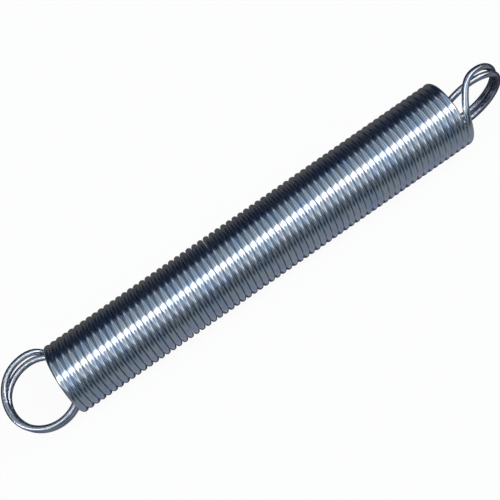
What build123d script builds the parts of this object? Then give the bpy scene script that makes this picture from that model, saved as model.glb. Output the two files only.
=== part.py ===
"""Close-wound extension spring with a double loop over centre at each end.

One wire makes the whole spring. A left-hand coil forms the body. At each end the last
coil steps out of the coil row, climbs, crosses over its own second loop turn, runs once
round the eye, dips into the mouth of the coil, comes out again beside itself and runs
round the eye to a free cut end.

Frame, in millimetres: X runs along the spring from loop A to loop B, and the axis of the
coil is the X axis. The origin is the middle of loop A's eye. Z is up as the spring lies
at rest, with loop B standing upright and loop A lying flat.
"""

import os
from dataclasses import dataclass
from math import cos, pi, radians, sin

from build123d import *

# ---- driving sizes, mm and degrees -------------------------------------------------
outer_diameter = 25.0
wire_diameter = 2.25
coil_gap = 0.05           # clear space between neighbouring coils
whole_turns = 67
part_turn = 276.0         # degrees past the whole turns, from hinge A to hinge B

loop_ratio = 1.084        # loop radius over coil radius, wire centre to wire centre
mouth_gap = 0.115         # clear space between the loop and the end coil in the mouth
foot_drop = 0.05          # how far loop B's far side stands below the body
side_shift = 0.35         # both loops lie this far to one side of the axis
turn_gap = 0.05           # clear space between the two turns of a loop

lead_angle = 114.0        # the wire starts to leave the coil row this far before the hinge
loop_rise = 0.51          # first turn bends out at the crossing, in wire diameters
loop_dip = 0.51           # second turn bends in at the crossing, in wire diameters
free_end_angle = 575.0    # where the wire is cut, round the eye from its top

# ---- derived sizes -----------------------------------------------------------------
wire_radius = wire_diameter / 2
coil_radius = outer_diameter / 2 - wire_radius
pitch = wire_diameter + coil_gap
turns = whole_turns + part_turn / 360
body_length = turns * pitch
loop_radius = loop_ratio * coil_radius
eye_shift = loop_radius - coil_radius - foot_drop
rise = loop_rise * wire_diameter
dip = loop_dip * wire_diameter
turn_offset = (wire_diameter + turn_gap) / 2


@dataclass
class Crossing:
    """How one end's wire steps out of the coil row and crosses to the loop."""

    step_out: float        # extra distance along the axis, in coil radii
    climb: float           # extra distance from the axis, in wire diameters
    leave_angle: float     # degrees before the hinge where the crossing starts
    over_reach: float      # place of the crossing's top along the axis, in eye reaches
    over_height: float     # height of its top over the second turn, in wire diameters
    over_side: float       # place of its top across the loop, in wire diameters
    join_angle: float      # where it joins the loop, round the eye from its top
    join_side: float       # place across the loop there, in wire diameters


crossing_a = Crossing(0.097, 0.98, 26.0, 0.48, 1.16, -0.22, 10.0, 0.44)
crossing_b = Crossing(0.58, 1.47, 16.0, 0.85, 1.22, -0.40, 20.0, 0.49)

coil_spans = 9            # the coil is drawn in this many lengths, end to end
end_spans = 6             # and each end's curve is cut into this many

# ---- shape of one end --------------------------------------------------------------
# Local places are (out, up, across): out of the body along the axis, from the axis
# towards the hinge, and across the loop in the direction the wire runs at the hinge.
lead_steps = 12
ring_step = 10            # degrees between the points that guide the loop
side_settle = 40.0        # degrees round the eye where turn one is at its full offset
mouth_entry = 212.0       # degrees round the eye where the loop runs into the coil
mouth_exit = 322.0        # and where it comes out again
bore_turn = 120.0         # degrees over which the wire changes side inside the coil


def second_turn_radius(angle):
    """Distance of the wire from the eye's middle after half a turn, angle in degrees."""
    if angle <= 360:
        return loop_radius - dip * (1 + cos(radians(angle))) / 2
    if angle <= 450:
        return loop_radius - dip * (1 + cos(radians(2 * angle))) / 2
    return loop_radius


def reach_past(angle, coil_place, coil_side):
    """Reach of the eye that keeps the loop, at an angle, clear of a coil by mouth_gap.

    The coil's wire is at coil_place along the axis, and coil_side is its distance from
    the level of the eye's middle.
    """
    clear = second_turn_radius(angle) + wire_diameter + mouth_gap
    return max(clear**2 - coil_side**2, 0) ** 0.5 - coil_place


def ring_radius(angle):
    """Distance of the wire from the eye's middle, angle in degrees from the eye's top."""
    if angle <= 90:
        return loop_radius + rise * (1 + cos(radians(2 * angle))) / 2
    if angle <= 180:
        return loop_radius
    return second_turn_radius(angle)


def ring_side(angle, crossing):
    """Place of the wire across the loop, angle in degrees from the eye's top."""
    full = side_shift + turn_offset
    if angle < side_settle:
        start = crossing.join_side * wire_diameter
        share = (angle - crossing.join_angle) / (side_settle - crossing.join_angle)
        return start + (full - start) * sin(share * pi / 2)
    if angle <= mouth_entry:
        return full
    if angle <= mouth_entry + bore_turn:
        return side_shift + turn_offset * cos((angle - mouth_entry) / bore_turn * pi)
    return side_shift - turn_offset


eye_reach = max(
    reach_past(mouth_entry, pitch / 2, coil_radius + eye_shift),
    reach_past(mouth_exit, pitch, coil_radius - eye_shift),
)


def ring_point(angle, crossing):
    """Wire centre on the loop, angle in degrees from the eye's top."""
    radius = ring_radius(angle)
    out = eye_reach + radius * sin(radians(angle))
    up = eye_shift + radius * cos(radians(angle))
    return (out, up, ring_side(angle, crossing))


def lead_point(angle, crossing):
    """Wire centre between coil row and crossing, angle in degrees before the hinge."""
    share = 1 - angle / lead_angle
    turn = -radians(angle)
    out = turn / (2 * pi) * pitch + crossing.step_out * coil_radius * share**5
    radius = coil_radius + crossing.climb * wire_diameter * share**4
    return (out, radius * cos(turn), radius * sin(turn))


def crossing_point(crossing):
    """Top of the crossing, where the wire passes over the loop's second turn."""
    out = crossing.over_reach * eye_reach
    inner = loop_radius - dip
    under = eye_shift + (inner**2 - (eye_reach - out) ** 2) ** 0.5
    up = under + crossing.over_height * wire_diameter
    return (out, up, crossing.over_side * wire_diameter)


def end_points(crossing):
    """Local places of the wire centre from the coil row to the cut end."""
    span = lead_angle - crossing.leave_angle
    lead = [lead_point(lead_angle - span * i / lead_steps, crossing) for i in range(lead_steps + 1)]
    count = int((free_end_angle - crossing.join_angle) / ring_step)
    ring = [ring_point(crossing.join_angle + ring_step * i, crossing) for i in range(count + 1)]
    return lead + [crossing_point(crossing)] + ring


def end_plane(x, outward, hinge_angle):
    """Plane at an end coil: normal out of the body, first axis towards the hinge."""
    hinge = (0, sin(radians(hinge_angle)), cos(radians(hinge_angle)))
    return Plane(origin=(x, 0, 0), x_dir=hinge, z_dir=(outward, 0, 0))


def end_curve(plane, crossing):
    """Wire centre from the coil row to the cut end, starting along the coil."""
    places = [plane.from_local_coords((up, -across, out)) for out, up, across in end_points(crossing)]
    turn = -radians(lead_angle)
    along = (-coil_radius * sin(turn), -coil_radius * cos(turn), pitch / (2 * pi))
    start = plane.from_local_coords(along) - plane.origin
    finish = places[-1] - places[-2]
    ends = (start.normalized(), finish.normalized())
    return Spline(*places, tangents=ends, tangent_scalars=(1, 1))


# ---- the wire's centre line --------------------------------------------------------
coil_start = eye_reach
coil_end = coil_start + body_length
hinge_a = -turns * 360    # degrees about X from +Z towards +Y
hinge_b = 0.0
lead_length = lead_angle / 360 * pitch

span_turns = (turns - 2 * lead_angle / 360) / coil_spans
coil = []
for span in range(coil_spans):
    x = coil_start + lead_length + span * span_turns * pitch
    span_plane = end_plane(x, 1, hinge_a + lead_angle + span * span_turns * 360)
    coil.append(span_plane * Helix(pitch, span_turns * pitch, coil_radius, lefthand=True))
curve_a = end_curve(end_plane(coil_start, -1, hinge_a), crossing_a)
curve_b = end_curve(end_plane(coil_end, 1, hinge_b), crossing_b)
end_lengths = [
    curve.trim(span / end_spans, (span + 1) / end_spans)
    for curve in (curve_a, curve_b)
    for span in range(end_spans)
]
centre_line = Wire(coil + end_lengths)

# ---- the solid wire ----------------------------------------------------------------
section = Plane(origin=centre_line @ 0, z_dir=centre_line % 0) * Circle(wire_radius)
spring_wire = sweep(section, path=centre_line)

os.makedirs("parts", exist_ok=True)
export_step(spring_wire, "parts/spring_wire.step")
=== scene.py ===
"""Extension spring: one drawn wire with a zinc finish, on a pale floor under soft light.

The wire is one surface carried along a worked-out centre line: a left-hand coil, and at
each end a lead out of the coil row, a crossing and a loop of two turns. Lengths are in
metres and angles in radians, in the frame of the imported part: X runs along the coil's
axis from the flat loop to the upright loop, Z is up, and the origin is the middle of the
flat loop's eye.
"""

from math import cos, pi, radians, sin
from typing import NamedTuple

import bpy
import numpy as np
from mathutils import Matrix, Vector


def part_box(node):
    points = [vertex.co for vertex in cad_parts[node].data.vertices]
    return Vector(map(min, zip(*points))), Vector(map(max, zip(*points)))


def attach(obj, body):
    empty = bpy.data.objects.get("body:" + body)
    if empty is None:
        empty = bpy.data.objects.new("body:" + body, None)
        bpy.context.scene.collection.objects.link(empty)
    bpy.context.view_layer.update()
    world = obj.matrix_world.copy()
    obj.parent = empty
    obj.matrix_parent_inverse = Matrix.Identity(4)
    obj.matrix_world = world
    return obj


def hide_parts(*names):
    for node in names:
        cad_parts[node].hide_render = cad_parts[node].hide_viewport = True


bl_info = {
    "name": "Extension spring",
    "version": (1, 0, 0),
    "blender": (4, 5, 0),
    "location": "3D View > Sidebar > Spring",
    "description": "Builds a zinc-plated extension spring and a plain stage for it",
    "category": "Object",
}

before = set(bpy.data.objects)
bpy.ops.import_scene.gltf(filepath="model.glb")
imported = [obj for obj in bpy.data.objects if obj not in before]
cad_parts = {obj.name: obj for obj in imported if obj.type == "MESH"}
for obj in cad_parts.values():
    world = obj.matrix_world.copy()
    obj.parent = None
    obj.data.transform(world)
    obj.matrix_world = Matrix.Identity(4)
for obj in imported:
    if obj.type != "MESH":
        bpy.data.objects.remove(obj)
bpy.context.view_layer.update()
CAD_WIRE = "spring_wire"
CAD_LOW, CAD_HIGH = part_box(CAD_WIRE)


class Crossing(NamedTuple):
    """How one end's wire steps out of the coil row and crosses to the loop."""

    step_out: float        # extra distance along the axis, in coil radii
    climb: float           # extra distance from the axis, in wire diameters
    leave_angle: float     # before the hinge, where the crossing starts
    over_reach: float      # place of the crossing's top along the axis, in eye reaches
    over_height: float     # height of its top over the second turn, in wire diameters
    over_side: float       # place of its top across the loop, in wire diameters
    join_angle: float      # where it joins the loop, round the eye from its top
    join_side: float       # place across the loop there, in wire diameters


FLAT_END = Crossing(0.097, 0.98, radians(26), 0.48, 1.16, -0.22, radians(10), 0.44)
UPRIGHT_END = Crossing(0.58, 1.47, radians(16), 0.85, 1.22, -0.40, radians(20), 0.49)


# ---- settings ----------------------------------------------------------------------
class SpringShape(bpy.types.PropertyGroup):
    """Sizes of the wire, its coil and its two loops."""

    outer_diameter: bpy.props.FloatProperty(
        name="Outer diameter", description="Width of the coil over the wire",
        default=0.025, unit="LENGTH")
    wire_diameter: bpy.props.FloatProperty(
        name="Wire diameter", description="Thickness of the wire",
        default=0.00225, unit="LENGTH")
    coil_gap: bpy.props.FloatProperty(
        name="Coil gap", description="Clear space between neighbouring coils",
        default=0.00005, unit="LENGTH")
    whole_turns: bpy.props.IntProperty(
        name="Whole turns", description="Full coils from hinge to hinge", default=67)
    part_turn: bpy.props.FloatProperty(
        name="Part turn", description="Turn past the whole coils, which sets the angle "
        "between the loops", default=radians(276), subtype="ANGLE")
    loop_ratio: bpy.props.FloatProperty(
        name="Loop ratio", description="Loop radius over coil radius", default=1.084)
    mouth_gap: bpy.props.FloatProperty(
        name="Mouth gap", description="Clear space between a loop and the end coil where "
        "the loop runs into the coil", default=0.000115, unit="LENGTH", precision=6)
    foot_drop: bpy.props.FloatProperty(
        name="Foot drop", description="How far the loop's far side stands below the body",
        default=0.00005, unit="LENGTH")
    side_shift: bpy.props.FloatProperty(
        name="Side shift", description="How far the loops lie to one side of the axis",
        default=0.00035, unit="LENGTH")
    turn_gap: bpy.props.FloatProperty(
        name="Turn gap", description="Clear space between the two turns of a loop",
        default=0.00005, unit="LENGTH")
    lead_angle: bpy.props.FloatProperty(
        name="Lead angle", description="Turn before the hinge where the wire starts to "
        "leave the coil row", default=radians(114), subtype="ANGLE")
    loop_rise: bpy.props.FloatProperty(
        name="Loop rise", description="How far the first turn bends out at the crossing, "
        "in wire diameters", default=0.51)
    loop_dip: bpy.props.FloatProperty(
        name="Loop dip", description="How far the second turn bends in at the crossing, "
        "in wire diameters", default=0.51)
    free_end_angle: bpy.props.FloatProperty(
        name="Free end angle", description="Where the wire is cut, round the eye from "
        "its top", default=radians(575), subtype="ANGLE")


class SpringFinish(bpy.types.PropertyGroup):
    """Colours and marks of the plated wire."""

    zinc: bpy.props.FloatVectorProperty(
        name="Zinc", description="Main colour of the plating", subtype="COLOR",
        default=(0.66, 0.69, 0.73), min=0, max=1)
    cool_tint: bpy.props.FloatVectorProperty(
        name="Cool tint", description="Bluer patches of the passivation", subtype="COLOR",
        default=(0.52, 0.62, 0.76), min=0, max=1)
    warm_tint: bpy.props.FloatVectorProperty(
        name="Warm tint", description="Pinkish patches of the passivation",
        subtype="COLOR", default=(0.74, 0.68, 0.70), min=0, max=1)
    # Painted shade: a darker colour over the loops, standing in for their darker
    # reflections.
    loop_painted_shade: bpy.props.FloatVectorProperty(
        name="Loop tone", description="Duller plating where the loops were bent",
        subtype="COLOR", default=(0.47, 0.47, 0.52), min=0, max=1)
    # Painted light: a brighter colour on the coil flanks, lifting the shade where
    # neighbouring coils meet.
    flank_painted_light: bpy.props.FloatVectorProperty(
        name="Gap tone", description="Plating rubbed bright where neighbouring coils meet",
        subtype="COLOR", default=(0.80, 0.82, 0.87), min=0, max=1)
    shine: bpy.props.FloatProperty(
        name="Roughness", description="Roughness of the clean plating", default=0.11)
    draw_mark: bpy.props.FloatProperty(
        name="Draw marks", description="Depth of the fine lines along the wire",
        default=0.000015, unit="LENGTH", precision=6)
    tool_mark: bpy.props.FloatProperty(
        name="Tool marks", description="Depth of the bruises from bending the loops",
        default=0.00005, unit="LENGTH", precision=6)


class SpringStage(bpy.types.PropertyGroup):
    """Floor, lamps and camera."""

    floor_colour: bpy.props.FloatVectorProperty(
        name="Floor", description="Colour of the floor", subtype="COLOR",
        default=(0.92, 0.92, 0.92), min=0, max=1)
    camera_azimuth: bpy.props.FloatProperty(
        name="Azimuth", description="Camera's turn round the spring",
        default=radians(-9.52), subtype="ANGLE")
    camera_elevation: bpy.props.FloatProperty(
        name="Elevation", description="Camera's height angle",
        default=radians(64.69), subtype="ANGLE")
    camera_roll: bpy.props.FloatProperty(
        name="Roll", description="Camera's turn about its own line of sight",
        default=radians(26.09), subtype="ANGLE")
    camera_distance: bpy.props.FloatProperty(
        name="Distance", description="Camera's distance from its aim",
        default=0.2972, unit="LENGTH")
    camera_aim: bpy.props.FloatVectorProperty(
        name="Aim", description="Place that the camera looks at", subtype="XYZ",
        default=(0.08098, 0.0004, -0.0001), unit="LENGTH")
    camera_lens: bpy.props.FloatProperty(
        name="Lens", description="Focal length on a 36 mm sensor", default=64.92)


# ---- centre line -------------------------------------------------------------------
def smooth_curve(places, first, last, spacing):
    """Samples of a smooth curve through all places, with given unit directions at its ends.

    Each piece between two places is a cubic: its ends are the places and its end slopes
    are chosen so that neighbouring pieces also agree in their second derivative. The
    running parameter is the summed chord length, and samples are spacing apart in it.
    """
    step = np.diff(places, axis=0)
    chord = np.linalg.norm(step, axis=1)
    rate = step / chord[:, None]
    before, after = chord[:-1], chord[1:]
    inner = np.arange(1, len(places) - 1)
    weights = np.zeros((len(places), len(places)))
    weights[0, 0] = weights[-1, -1] = 1
    weights[inner, inner - 1] = after
    weights[inner, inner] = 2 * (before + after)
    weights[inner, inner + 1] = before
    wanted = np.empty_like(places)
    wanted[0], wanted[-1] = first, last
    wanted[1:-1] = 3 * (after[:, None] * rate[:-1] + before[:, None] * rate[1:])
    slope = np.linalg.solve(weights, wanted)
    knots = np.concatenate([[0], np.cumsum(chord)])
    at = np.linspace(0, knots[-1], int(np.ceil(knots[-1] / spacing)) + 1)
    piece = np.clip(np.searchsorted(knots, at, side="right") - 1, 0, len(chord) - 1)
    length = chord[piece][:, None]
    t = (at - knots[piece])[:, None] / length
    return (
        (2 * t**3 - 3 * t**2 + 1) * places[piece]
        + (t**3 - 2 * t**2 + t) * length * slope[piece]
        + (3 * t**2 - 2 * t**3) * places[piece + 1]
        + (t**3 - t**2) * length * slope[piece + 1]
    )


def gone_along(places):
    """Summed length of the straight steps from the first place to each place."""
    return np.concatenate([[0], np.cumsum(np.linalg.norm(np.diff(places, axis=0), axis=1))])


class EndShape:
    """One end of the spring in its own axes: out of the body, up to the hinge, across."""

    LEAD_STEPS = 12
    LEAD_STEP_POWER, LEAD_CLIMB_POWER = 5, 4  # how late the lead steps out and climbs
    RING_STEP = radians(10)       # between the places that guide the loop
    RING_ROUNDING = 1e-6          # keeps a whole number of steps whole
    SIDE_SETTLE = radians(40)     # round the eye, where turn one is at its full offset
    MOUTH_ENTRY = radians(212)    # where the loop runs into the coil
    MOUTH_EXIT = radians(322)     # and where it comes out again
    BORE_TURN = radians(120)      # over which the wire changes side inside the coil

    def __init__(self, shape, crossing):
        self.crossing = crossing
        self.wire = shape.wire_diameter
        self.coil_radius = (shape.outer_diameter - shape.wire_diameter) / 2
        self.pitch = shape.wire_diameter + shape.coil_gap
        self.loop_radius = shape.loop_ratio * self.coil_radius
        self.shift = self.loop_radius - self.coil_radius - shape.foot_drop
        self.rise = shape.loop_rise * self.wire
        self.dip = shape.loop_dip * self.wire
        self.side_shift = shape.side_shift
        self.turn_offset = (self.wire + shape.turn_gap) / 2
        self.lead_angle = shape.lead_angle
        self.free_end_angle = shape.free_end_angle
        self.mouth_gap = shape.mouth_gap
        above, below = self.coil_radius - self.shift, self.coil_radius + self.shift
        self.reach = max(
            self.reach_past(self.MOUTH_ENTRY, self.pitch / 2, below),
            self.reach_past(self.MOUTH_EXIT, self.pitch, above),
        )

    def reach_past(self, angle, coil_place, coil_side):
        """Reach of the eye at which the loop, at an angle, clears a coil by the mouth gap:
        the third side of a right triangle, less the coil's own place along the axis."""
        loop = self.loop_radius - self.dip * (1 + cos(angle)) / 2
        clear = loop + self.wire + self.mouth_gap
        return max(clear**2 - coil_side**2, 0) ** 0.5 - coil_place

    def lead(self):
        """Helix up to the hinge. Its step out and its climb start from nothing at the lead
        angle, and grow by powers of the share of that angle gone."""
        leave = self.crossing.leave_angle
        before = np.linspace(self.lead_angle, leave, self.LEAD_STEPS + 1)
        share = 1 - before / self.lead_angle
        step_out = self.crossing.step_out * self.coil_radius * share**self.LEAD_STEP_POWER
        climb = self.crossing.climb * self.wire * share**self.LEAD_CLIMB_POWER
        out = step_out - before / (2 * pi) * self.pitch
        radius = self.coil_radius + climb
        return np.stack([out, radius * np.cos(before), -radius * np.sin(before)], 1)

    def top(self):
        """The one place where the wire passes over its own second turn."""
        out = self.crossing.over_reach * self.reach
        inner = self.loop_radius - self.dip
        under = self.shift + (inner**2 - (self.reach - out) ** 2) ** 0.5
        up = under + self.crossing.over_height * self.wire
        return np.array([[out, up, self.crossing.over_side * self.wire]])

    def ring(self):
        """Circle round the eye. Its radius swells by a cosine near the crossing on turn one
        and shrinks by a cosine there on turn two; its place across the loop eases from
        the crossing to one side, and in the bore by a cosine to the other side."""
        join = self.crossing.join_angle
        count = int((self.free_end_angle - join) / self.RING_STEP + self.RING_ROUNDING)
        angle = join + self.RING_STEP * np.arange(count + 1)
        swell = self.rise * (1 + np.cos(2 * angle)) / 2
        shrink = self.dip * (1 + np.cos(angle)) / 2
        shrink_late = self.dip * (1 + np.cos(2 * angle)) / 2
        ranges = [angle <= pi / 2, angle <= pi, angle <= 2 * pi, angle <= 5 * pi / 2]
        bends = [swell, 0 * angle, -shrink, -shrink_late]
        radius = self.loop_radius + np.select(ranges, bends, 0)
        full = self.side_shift + self.turn_offset
        start = self.crossing.join_side * self.wire
        settle = (angle - join) / (self.SIDE_SETTLE - join)
        ease = start + (full - start) * np.sin(settle * pi / 2)
        past = (angle - self.MOUTH_ENTRY) / self.BORE_TURN
        change = self.side_shift + self.turn_offset * np.cos(past * pi)
        places = [angle < self.SIDE_SETTLE, past <= 0, past <= 1]
        side = np.select(places, [ease, full, change], self.side_shift - self.turn_offset)
        return np.stack([
            self.reach + radius * np.sin(angle),
            self.shift + radius * np.cos(angle),
            side,
        ], 1)

    def curve(self, spacing):
        """Lead, top and ring joined by a smooth curve, with a reference direction for each
        sample: out of the body in the lead, turning to stand square to the loop."""
        lead, top, ring = self.lead(), self.top(), self.ring()
        places = np.concatenate([lead, top, ring])
        first = np.array([
            self.pitch / (2 * pi),
            self.coil_radius * sin(self.lead_angle),
            self.coil_radius * cos(self.lead_angle),
        ])
        last = ring[-1] - ring[-2]
        unit = [v / np.linalg.norm(v) for v in (first, last)]
        samples = smooth_curve(places, *unit, spacing)
        legs = np.linalg.norm(np.diff(places, axis=0), axis=1)
        gone = gone_along(samples)
        start = legs[:len(lead) - 1].sum()
        share = np.clip((gone - start) / legs[len(lead) - 1:len(lead) + 1].sum(), 0, 1)
        turn = share * pi / 2
        reference = np.stack([np.cos(turn), 0 * turn, -np.sin(turn)], 1)
        return samples, reference, share


def end_axes(outward, hinge_angle):
    """Rows out, up, across of an end, for a hinge at an angle from Z towards Y."""
    out = np.array([outward, 0, 0])
    up = np.array([0, sin(hinge_angle), cos(hinge_angle)])
    return np.array([out, up, np.cross(up, out)])


class Path(NamedTuple):
    """A sampled centre line of the wire."""

    places: np.ndarray
    reference: np.ndarray  # a direction that never lines up with the wire
    loop: np.ndarray       # 0 in the coil, 1 in the loops


def wire_path(shape, turn_steps):
    """Flat loop, coil and upright loop as one run from cut end to cut end.

    The coil is a left-hand helix: x grows by one pitch a turn while the angle from Z
    towards Y grows, on the coil radius.
    """
    flat, upright = EndShape(shape, FLAT_END), EndShape(shape, UPRIGHT_END)
    turns = shape.whole_turns + shape.part_turn / (2 * pi)
    coil_start = flat.reach
    coil_end = coil_start + turns * flat.pitch
    spacing = 2 * pi * flat.coil_radius / turn_steps

    span = turns * 2 * pi - 2 * shape.lead_angle
    steps = int(turn_steps * span / (2 * pi))
    angle = shape.lead_angle + np.linspace(0, span, steps + 1)[1:-1]
    angle = angle - turns * 2 * pi
    coil = np.stack([
        coil_end + flat.pitch * angle / (2 * pi),
        flat.coil_radius * np.sin(angle),
        flat.coil_radius * np.cos(angle),
    ], 1)
    along = np.tile([1.0, 0, 0], (len(coil), 1))

    axes_a, axes_b = end_axes(-1, -turns * 2 * pi), end_axes(1, 0)
    places_a, reference_a, loop_a = flat.curve(spacing)
    places_b, reference_b, loop_b = upright.curve(spacing)
    places_a = (places_a @ axes_a + [coil_start, 0, 0])[::-1]
    places_b = places_b @ axes_b + [coil_end, 0, 0]
    return Path(
        np.concatenate([places_a, coil, places_b]),
        np.concatenate([-(reference_a @ axes_a)[::-1], along, reference_b @ axes_b]),
        np.concatenate([loop_a[::-1], np.zeros(len(coil)), loop_b]),
    )


# ---- surfaces ----------------------------------------------------------------------
def unit_rows(rows):
    """Rows scaled to length one."""
    return rows / np.linalg.norm(rows, axis=1)[:, None]


def carried_axes(path):
    """Two unit directions square to the path at each sample, that don't turn about it.

    The reference made square to the path gives a first pair. Its turn about the path from
    sample to sample is summed, and the pair is turned back by that sum.
    """
    along = unit_rows(np.gradient(path.places, axis=0))
    side = path.reference - (path.reference * along).sum(1)[:, None] * along
    side = unit_rows(side)
    other = np.cross(along, side)
    step = (np.diff(side, axis=0) * (other[1:] + other[:-1]) / 2).sum(1)
    back = -np.concatenate([[0], np.cumsum(step)])[:, None]
    first = np.cos(back) * side + np.sin(back) * other
    return along, first, np.cross(along, first)


def tube(path, radius, around, end_steps):
    """Circle of the radius carried along the path, shut at both ends by rings that shrink
    in the cut faces. Gives the rings' places, the direction out of the wire at each, each
    ring's sample of the path and distance along the wire, and the angles round a ring.

    place = centre + r cos(a) first + r sin(a) second, with r the radius along the wire
    and the shares of end_steps in the cut faces.
    """
    along, first, second = carried_axes(path)
    gone = gone_along(path.places)
    shares, pushes = np.array(end_steps).T
    index = np.concatenate([
        np.zeros(len(shares), int),
        np.arange(len(gone)),
        np.full(len(shares), len(gone) - 1),
    ])
    size = np.concatenate([shares[::-1], np.ones(len(gone)), shares]) * radius
    push = np.concatenate([-pushes[::-1], np.zeros(len(gone)), pushes]) * radius
    angle = np.arange(around) / around * 2 * pi
    centre = path.places[index] + push[:, None] * along[index]
    outward = (
        np.cos(angle)[None, :, None] * first[index][:, None]
        + np.sin(angle)[None, :, None] * second[index][:, None]
    )
    rings = centre[:, None] + size[:, None, None] * outward
    return rings, outward, index, gone[index] + push, angle


def ring_faces(rings, around):
    """Quads between neighbouring rings, seam closed, all facing outwards."""
    start = np.arange(rings - 1)[:, None] * around
    here = np.arange(around)[None]
    after = (here + 1) % around
    beyond = start + around
    quads = np.stack([start + here, start + after, beyond + after, beyond + here], -1)
    return quads.reshape(-1, 4)


def mesh_piece(name, places, quads, caps):
    """New object at the origin from an array of places and faces given as index arrays."""
    mesh = bpy.data.meshes.new(name)
    corners = np.concatenate([quads.ravel()] + [np.ravel(cap) for cap in caps])
    sizes = np.concatenate([np.full(len(quads), 4)] + [[len(cap)] for cap in caps])
    mesh.vertices.add(len(places))
    mesh.vertices.foreach_set("co", places.astype(np.float32).ravel())
    mesh.loops.add(len(corners))
    mesh.loops.foreach_set("vertex_index", corners.astype(np.int32))
    mesh.polygons.add(len(sizes))
    mesh.polygons.foreach_set("loop_start", (np.cumsum(sizes) - sizes).astype(np.int32))
    mesh.polygons.foreach_set("use_smooth", np.ones(len(sizes), bool))
    mesh.update(calc_edges=True)
    mesh.validate()
    piece = bpy.data.objects.new(name, mesh)
    bpy.context.scene.collection.objects.link(piece)
    return piece


def point_values(piece, name, kind, values):
    """Stores one value or vector a vertex for a material to read."""
    field = "vector" if kind == "FLOAT_VECTOR" else "value"
    attribute = piece.data.attributes.new(name, kind, "POINT")
    attribute.data.foreach_set(field, values.astype(np.float32).ravel())


# ---- shader maths ------------------------------------------------------------------
class Value:
    """A number's socket that can be used in Python sums."""

    def __init__(self, finish, socket):
        self.finish = finish
        self.socket = socket

    def maths(self, operation, *others, clamp=False):
        """A Math node on this value and others, which may be numbers."""
        settings = {"operation": operation, "use_clamp": clamp}
        inputs = dict(enumerate((self,) + others))
        node = self.finish.node("ShaderNodeMath", settings, inputs)
        return Value(self.finish, node.outputs[0])

    def __add__(self, other):
        return self.maths("ADD", other)

    def __radd__(self, other):
        return self.maths("ADD", other)

    def __sub__(self, other):
        return self.maths("SUBTRACT", other)

    def __rsub__(self, other):
        return (self * -1).maths("ADD", other)

    def __mul__(self, other):
        return self.maths("MULTIPLY", other)

    def __rmul__(self, other):
        return self.maths("MULTIPLY", other)

    def between(self, low, high):
        """0 at low and below, 1 at high and above, straight between."""
        return ((self - low) * (1 / (high - low))).maths("ADD", 0, clamp=True)


class Grain(NamedTuple):
    """How coarse a noise is."""

    stretch: tuple         # factor on each axis
    scale: float
    detail: float


class Finish:
    """A material under construction."""

    def __init__(self, name):
        self.material = bpy.data.materials.new(name)
        self.material.use_nodes = True
        self.tree = self.material.node_tree
        self.surface = self.tree.nodes["Principled BSDF"]

    def node(self, kind, settings=None, inputs=None):
        """A node with its settings, then the values or links of its sockets."""
        node = self.tree.nodes.new(kind)
        for key, value in (settings or {}).items():
            setattr(node, key, value)
        for key, value in (inputs or {}).items():
            self.feed(node.inputs[key], value)
        return node

    def feed(self, target, value):
        """Links a socket to a target, or sets the target's own value."""
        source = value.socket if isinstance(value, Value) else value
        if isinstance(source, bpy.types.NodeSocket):
            self.tree.links.new(source, target)
        else:
            target.default_value = source

    def show(self, shader):
        """Makes a shader node the material's surface."""
        out = self.tree.nodes["Material Output"]
        self.tree.links.new(shader.outputs[0], out.inputs["Surface"])

    def attribute(self, name):
        """An Attribute node that reads a vertex value."""
        return self.node("ShaderNodeAttribute", {"attribute_name": name})

    def noise(self, vector, grain):
        """Soft noise from 0 to 1 with the grain given, on a vector."""
        mapped = self.node("ShaderNodeMapping", inputs={
            "Vector": vector, "Scale": grain.stretch})
        texture = self.node("ShaderNodeTexNoise", inputs={
            "Vector": mapped.outputs[0], "Scale": grain.scale, "Detail": grain.detail})
        return Value(self, texture.outputs["Fac"])

    def blend(self, share, below, above):
        """Colour between two colours."""
        mix = self.node("ShaderNodeMix", {"data_type": "RGBA"}, {
            "Factor": share, "A": below, "B": above})
        return mix.outputs["Result"]

    def set(self, **sockets):
        """Numbers, colours or links for the surface's own sockets."""
        for key, value in sockets.items():
            self.feed(self.surface.inputs[key.replace("_", " ")], value)


def opaque(colour):
    """A colour property with full alpha."""
    return (*colour, 1)


# ---- pieces ------------------------------------------------------------------------
TURN_STEPS = 56           # rings in one turn of the coil
AROUND = 24               # points in one ring
CUT_FACE = ((0.985, 0.02), (0.93, 0.045), (0.5, 0.05))  # ring size and push, in wire radii
COIL_EDGE = 0.65          # where the flank starts to turn to its neighbour, as a sine; the painted light on the flanks starts here

# Noises in the wire's own axes: round it, round it, and along it, in wire radii.
DRAW_LINES = Grain((5.0, 5.0, 0.035), 1.0, 3.0)
FINE_LINES = Grain((16.0, 16.0, 0.10), 1.0, 2.0)
WARM_PATCHES = Grain((0.6, 0.6, 0.12), 1.0, 2.0)
BRUISES = Grain((1.4, 1.4, 0.9), 1.0, 4.0)
# Noises in the part's own axes, in metres.
COOL_CLOUDS = Grain((1.0, 1.0, 1.0), 160.0, 3.0)
GRIT = Grain((1.0, 1.0, 1.0), 5200.0, 2.0)
# The stretch of each noise over which its effect grows from nothing to full.
BRUISE_EDGE, CLOUD_EDGE, PATCH_EDGE = (0.52, 0.70), (0.46, 0.66), (0.56, 0.70)
LINE_EDGE = (0.45, 0.75)
PATCH_SHARE = 0.7         # most of the warm tint in a patch
LOOP_PAINTED_SHADE = 0.75          # share of the darker colour painted as shade on the loops
LINE_ROUGH, BRUISE_ROUGH = 0.10, 0.14
FINE_DEPTH, GRIT_DEPTH = 1 / 2, 1 / 3  # in depths of the draw marks


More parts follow.
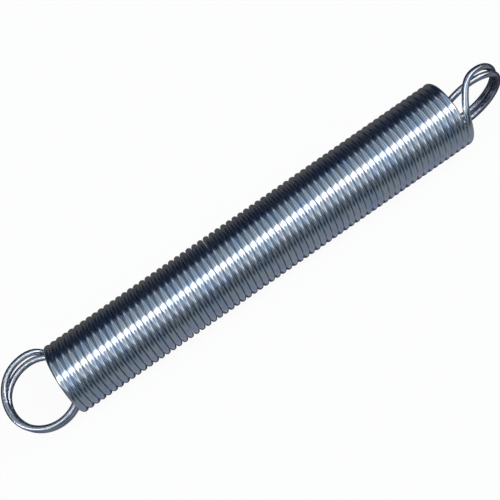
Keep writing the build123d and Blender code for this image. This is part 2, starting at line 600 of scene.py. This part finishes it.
def zinc_finish(look):
    """Bright zinc over drawn wire: long fine lines, cloudy tints, a brighter colour on the
    flanks between the coils as painted light that lifts the shade where they meet, and
    bruised plating where the loops were bent, with a darker colour over the loops as
    painted shade."""
    finish = Finish("zinc_plated_steel")
    place = finish.attribute("wire_place").outputs["Vector"]
    gap = Value(finish, finish.attribute("coil_flank").outputs["Fac"])
    loop = Value(finish, finish.attribute("loop_share").outputs["Fac"])
    spot = finish.node("ShaderNodeTexCoord").outputs["Object"]

    lines = finish.noise(place, DRAW_LINES)
    fine_lines = finish.noise(place, FINE_LINES)
    clouds = finish.noise(spot, COOL_CLOUDS)
    patches = finish.noise(place, WARM_PATCHES)
    grit = finish.noise(spot, GRIT)
    bruise = finish.noise(place, BRUISES).between(*BRUISE_EDGE) * loop

    tone = finish.blend(clouds.between(*CLOUD_EDGE), opaque(look.zinc),
                        opaque(look.cool_tint))
    tone = finish.blend(patches.between(*PATCH_EDGE) * PATCH_SHARE, tone,
                        opaque(look.warm_tint))
    # Painted shade: the loops take a darker colour, standing in for their darker
    # reflections.
    tone = finish.blend(loop * LOOP_PAINTED_SHADE, tone, opaque(look.loop_painted_shade))
    # Painted light: the coil flanks take a brighter colour, lifting the shade between
    # neighbouring coils.
    tone = finish.blend(gap, tone, opaque(look.flank_painted_light))
    rough = look.shine + LINE_ROUGH * lines.between(*LINE_EDGE) + BRUISE_ROUGH * bruise
    height = (lines * look.draw_mark + fine_lines * (look.draw_mark * FINE_DEPTH)
              + grit * (look.draw_mark * GRIT_DEPTH) + bruise * (-look.tool_mark))
    bump = finish.node("ShaderNodeBump", inputs={
        "Height": height, "Distance": 1.0, "Strength": 1.0})
    finish.set(Base_Color=tone, Metallic=1.0, Roughness=rough,
               Normal=bump.outputs["Normal"])
    return finish.material


class SPRING_OT_wire(bpy.types.Operator):
    """Build the whole spring as one closed wire and give it its zinc finish"""

    bl_idname = "spring.wire"
    bl_label = "Spring wire"

    def execute(self, context):
        shape = context.scene.spring_shape
        look = context.scene.spring_finish
        path = wire_path(shape, TURN_STEPS)
        radius = shape.wire_diameter / 2
        rings, outward, index, gone, angle = tube(path, radius, AROUND, CUT_FACE)
        count = len(rings)
        caps = [np.arange(AROUND)[::-1], np.arange(AROUND) + (count - 1) * AROUND]
        piece = mesh_piece("zinc_spring_wire", rings.reshape(-1, 3),
                           ring_faces(count, AROUND), caps)
        if len(piece.data.polygons) < count:
            raise RuntimeError("the wire's surface has no faces")

        round_wire = np.stack([
            np.tile(np.cos(angle), (count, 1)),
            np.tile(np.sin(angle), (count, 1)),
            np.tile(gone[:, None] / radius, (1, AROUND)),
        ], -1)
        # Mask of the painted light on the coil flanks: it grows where the surface turns
        # towards the neighbouring coil, and is zero on the loops.
        flank = np.abs(outward[..., 0])
        flank = np.clip((flank - COIL_EDGE) / (1 - COIL_EDGE), 0, 1)
        loop = np.tile(path.loop[index][:, None], (1, AROUND))
        flank = flank * (1 - loop)
        point_values(piece, "wire_place", "FLOAT_VECTOR", round_wire)
        point_values(piece, "coil_flank", "FLOAT", flank)
        point_values(piece, "loop_share", "FLOAT", loop)
        piece.data.materials.append(zinc_finish(look))
        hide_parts(CAD_WIRE)
        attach(piece, "root")
        return {"FINISHED"}


# ---- stage -------------------------------------------------------------------------
FLOOR_REACH = 40.0
FLOOR_ROUGH = 0.9
FLOOR_WHITE = 0.94        # share of even white over the lit floor
ROOM_LIGHT = (0.85, 0.87, 0.9)
FILM_WIDTH = 36
NEAR_CLIP, FAR_CLIP = 0.01, 100

# The long lamp over the spring, which leans away from straight up towards -Y.
LAMP_LEAN = radians(-13)
LAMP_DISTANCE = 0.9
LAMP_WIDTH, LAMP_LENGTH = 0.23, 4.0
LAMP_RADIANCE = 2.3

# The tent, a round shell of light about the spring, that the camera doesn't see.
TENT_RADIUS = 2.0
TENT_SPREAD = 100         # degrees from straight up to its edges
TENT_STEPS = (161, 181)   # places across it, then from end to end
# A card that lies on the floor and that only the wire's shine shows, a painted reflection
# of a dim floor: its reach, its lift, and its brightness against the place across the
# spring, darkest close under the coil as a painted shadow of the spring.
LOW_CARD_REACH = 1.95
LOW_CARD_LIFT = 0.0003
LOW_CARD_BANDS = (
    (-1.95, (0.05, 0.06, 0.08)),
    (-0.6, (0.05, 0.07, 0.09)),
    (-0.15, (0.10, 0.13, 0.15)),
    (-0.05, (0.22, 0.26, 0.29)),
    (-0.020, (0.24, 0.27, 0.32)),
    (-0.0145, (0.30, 0.32, 0.40)),
    # Painted shadow of the spring in the wire's reflection, close under the coil.
    (-0.012, (0.05, 0.06, 0.08)),
    (0.012, (0.03, 0.04, 0.05)),
    (0.025, (0.10, 0.095, 0.095)),
    (0.06, (0.10, 0.10, 0.105)),
    (0.12, (0.07, 0.075, 0.085)),
    (0.6, (0.025, 0.035, 0.05)),
    (1.95, (0.025, 0.035, 0.05)),
)
# Brightness of the tent against the angle from straight up, towards -Y and then +Y.
TENT_BANDS = (
    (-100, (0.05, 0.06, 0.08)),
    (-88, (0.035, 0.05, 0.07)),
    (-74, (0.018, 0.028, 0.045)),
    (-60, (0.035, 0.05, 0.075)),
    (-52, (0.28, 0.34, 0.40)),
    (-46, (0.52, 0.60, 0.68)),
    (-36, (0.40, 0.48, 0.56)),
    (-4, (0.33, 0.40, 0.48)),
    (20, (0.28, 0.35, 0.42)),
    (38, (0.26, 0.33, 0.40)),
    (45, (0.06, 0.09, 0.14)),
    (56, (0.012, 0.020, 0.045)),
    (80, (0.018, 0.026, 0.045)),
    (100, (0.03, 0.04, 0.05)),
)
# Windows in the tent: middle and half width of each in turn, then towards the ends, and
# the light it adds. The light is full over the inner half of a width and gone at one and
# a half.
WINDOW_EDGE = 1.5
TENT_WINDOWS = (
    (-12, 16, 66, 16, (2.4, 2.4, 2.4)),
    (-12, 16, -66, 16, (2.4, 2.4, 2.4)),
    (-20, 50, 42, 10, (0.42, 0.46, 0.50)),
    (-20, 50, -34, 8, (0.34, 0.38, 0.42)),
    (-54, 7, 20, 12, (0.8, 0.85, 0.9)),
    (-72, 14, -34, 18, (0.13, 0.155, 0.17)),
    (-62, 14, 7, 4, (0.55, 0.6, 0.65)),
    (36, 5, 0, 12, (0.30, 0.32, 0.34)),
)


def dome(radius, centre, turn_steps, end_steps):
    """Round shell about an axis along X: place = centre + radius (sin q, cos q sin p,
    cos q cos p), with p the angle from straight up and q the angle towards the ends.
    Gives the places, p in degrees at each, and the faces."""
    p = np.radians(np.linspace(-TENT_SPREAD, TENT_SPREAD, turn_steps))[:, None]
    q = np.linspace(-pi / 2, pi / 2, end_steps)[None]
    unit = np.stack([np.sin(q) + 0 * p, np.cos(q) * np.sin(p), np.cos(q) * np.cos(p)], -1)
    places = centre + radius * unit
    rows, columns = np.arange(turn_steps - 1)[:, None], np.arange(end_steps - 1)[None]
    start = (rows * end_steps + columns).ravel()
    quads = np.stack([start, start + 1, start + end_steps + 1, start + end_steps], 1)
    return places, np.degrees(p) + 0 * q, quads


def tent_finish():
    """Light given off by the tent or the card, read from its own vertices."""
    finish = Finish("tent_light")
    finish.tree.nodes.remove(finish.surface)
    glow = finish.node("ShaderNodeEmission", inputs={
        "Color": finish.attribute("glow").outputs["Color"], "Strength": 1.0})
    finish.show(glow)
    return finish.material


def floor_finish(colour):
    """Matt pale floor that keeps the spring's shadow, with an even white over it for the
    camera and for what metal and glass show of it."""
    finish = Finish("pale_floor")
    finish.set(Base_Color=opaque(colour), Roughness=FLOOR_ROUGH)
    seen = finish.node("ShaderNodeLightPath").outputs
    rays = [Value(finish, seen[name]) for name in (
        "Is Camera Ray", "Is Glossy Ray", "Is Transmission Ray")]
    share = (rays[0] + rays[1] + rays[2]).between(0, 1) * FLOOR_WHITE
    white = finish.node("ShaderNodeEmission", inputs={
        "Color": (1, 1, 1, 1), "Strength": 1.0})
    mix = finish.node("ShaderNodeMixShader", inputs={
        0: share, 1: finish.surface.outputs[0], 2: white.outputs[0]})
    finish.show(mix)
    return finish.material


def put_glow(piece, glow):
    """Stores the light that a stage piece gives off, and its finish."""
    attribute = piece.data.attributes.new("glow", "FLOAT_COLOR", "POINT")
    shown = np.concatenate([glow, np.ones_like(glow[..., :1])], -1)
    attribute.data.foreach_set("color", shown.astype(np.float32).ravel())
    piece.data.materials.append(tent_finish())


def hang_lamp(middle):
    """Long soft lamp over a place on the X axis."""
    lamp = bpy.data.lights.new("overhead_strip", "AREA")
    lamp.shape = "RECTANGLE"
    lamp.size, lamp.size_y = LAMP_LENGTH, LAMP_WIDTH
    lamp.energy = LAMP_RADIANCE * LAMP_WIDTH * LAMP_LENGTH * pi
    holder = bpy.data.objects.new("overhead_strip", lamp)
    bpy.context.scene.collection.objects.link(holder)
    towards = Vector((0, sin(LAMP_LEAN), cos(LAMP_LEAN)))
    across = Vector((1, 0, 0))
    turned = Matrix((across, towards.cross(across), towards)).transposed()
    place = Vector((middle, 0, 0)) + towards * LAMP_DISTANCE
    holder.matrix_world = Matrix.Translation(place) @ turned.to_4x4()


class SPRING_OT_stage(bpy.types.Operator):
    """Lay the floor, hang the lamps and place the camera"""

    bl_idname = "spring.stage"
    bl_label = "Stage"

    def execute(self, context):
        stage = context.scene.spring_stage
        low, middle = CAD_LOW[2], (CAD_LOW[0] + CAD_HIGH[0]) / 2
        square = np.array([(-1, -1), (1, -1), (1, 1), (-1, 1)]) * FLOOR_REACH
        corners = np.column_stack([square, np.full(len(square), low)])
        floor = mesh_piece("floor", corners, np.array([[0, 1, 2, 3]]), [])
        floor.data.materials.append(floor_finish(stage.floor_colour))
        tent = self.hang_tent(middle, low)
        self.lay_card(middle, low + LOW_CARD_LIFT)
        hang_lamp(middle)

        world = bpy.data.worlds.new("room")
        world.use_nodes = True
        back = world.node_tree.nodes["Background"]
        back.inputs["Color"].default_value = opaque(ROOM_LIGHT)
        context.scene.world = world
        context.scene.view_settings.view_transform = "Standard"
        self.place_camera(context, stage)
        return {"FINISHED"}

    def hang_tent(self, middle, low):
        """Shell about the spring, with its glow read from the bands and the windows."""
        places, turn, quads = dome(TENT_RADIUS, np.array([middle, 0, low]), *TENT_STEPS)
        tent = mesh_piece("light_tent", places.reshape(-1, 3), quads, [])
        angles = [angle for angle, _ in TENT_BANDS]
        parts = np.array([colour for _, colour in TENT_BANDS]).T
        glow = np.stack([np.interp(turn, angles, part) for part in parts], -1)
        sine = np.clip((places[..., 0] - middle) / TENT_RADIUS, -1, 1)
        aside = np.degrees(np.arcsin(sine))
        for turn_at, turn_wide, side_at, side_wide, extra in TENT_WINDOWS:
            over_turn = np.clip(WINDOW_EDGE - np.abs(turn - turn_at) / turn_wide, 0, 1)
            over_side = np.clip(WINDOW_EDGE - np.abs(aside - side_at) / side_wide, 0, 1)
            glow = glow + (over_turn * over_side)[..., None] * np.array(extra)
        put_glow(tent, glow)
        tent.visible_camera = False
        return tent

    def lay_card(self, middle, height):
        """Strips of card along X, with their glow read from their place across: a painted
        reflection of a dim floor, with a painted shadow close under the coil.
        """
        across = np.array([place for place, _ in LOW_CARD_BANDS])
        glow = np.array([colour for _, colour in LOW_CARD_BANDS])
        ends = middle + LOW_CARD_REACH * np.array([-1, 1])
        x, y = np.meshgrid(ends, across)
        places = np.stack([x, y, height + 0 * x], -1)
        row = np.arange(len(across) - 1) * 2
        quads = np.stack([row, row + 1, row + 3, row + 2], 1)
        card = mesh_piece("low_card", places.reshape(-1, 3), quads, [])
        put_glow(card, np.repeat(glow[:, None], 2, axis=1))
        for ray in ("camera", "diffuse", "shadow", "transmission", "volume_scatter"):
            setattr(card, "visible_" + ray, False)
        return card

    def place_camera(self, context, stage):
        """Camera on a sphere about its aim, turned about its own line of sight."""
        a, e, r = stage.camera_azimuth, stage.camera_elevation, stage.camera_roll
        back = Vector((sin(a) * cos(e), -cos(a) * cos(e), sin(e)))
        level = Vector((0, 0, 1)).cross(back).normalized()
        upright = back.cross(level)
        up = cos(r) * upright + sin(r) * level
        right = cos(r) * level - sin(r) * upright
        view = bpy.data.cameras.new("camera")
        view.lens = stage.camera_lens
        view.sensor_width = FILM_WIDTH
        view.clip_start, view.clip_end = NEAR_CLIP, FAR_CLIP
        camera = bpy.data.objects.new("camera", view)
        context.scene.collection.objects.link(camera)
        turned = Matrix((right, up, back)).transposed()
        place = Vector(stage.camera_aim) + back * stage.camera_distance
        camera.matrix_world = Matrix.Translation(place) @ turned.to_4x4()
        context.scene.camera = camera


class SPRING_PT_sidebar(bpy.types.Panel):
    """Sizes, finish and stage of the spring, with the steps that build them"""

    bl_idname = "SPRING_PT_sidebar"
    bl_label = "Extension spring"
    bl_space_type = "VIEW_3D"
    bl_region_type = "UI"
    bl_category = "Spring"

    def draw(self, context):
        scene = context.scene
        for settings in (scene.spring_shape, scene.spring_finish, scene.spring_stage):
            box = self.layout.box()
            for name in settings.bl_rna.properties.keys():
                if name not in ("rna_type", "name"):
                    box.prop(settings, name)
        self.layout.operator(SPRING_OT_wire.bl_idname)
        self.layout.operator(SPRING_OT_stage.bl_idname)


GROUPS = {
    "spring_shape": SpringShape,
    "spring_finish": SpringFinish,
    "spring_stage": SpringStage,
}
CLASSES = (*GROUPS.values(), SPRING_OT_wire, SPRING_OT_stage, SPRING_PT_sidebar)


def register():
    """Adds the classes, and the settings to the scene."""
    for item in CLASSES:
        bpy.utils.register_class(item)
    for name, group in GROUPS.items():
        setattr(bpy.types.Scene, name, bpy.props.PointerProperty(type=group))


def unregister():
    """Removes what register added."""
    for name in GROUPS:
        delattr(bpy.types.Scene, name)
    for item in reversed(CLASSES):
        bpy.utils.unregister_class(item)


def main():
    """Builds the spring and its stage."""
    register()
    bpy.ops.spring.wire()
    bpy.ops.spring.stage()
    bpy.context.view_layer.update()


if __name__ == "__main__":
    main()
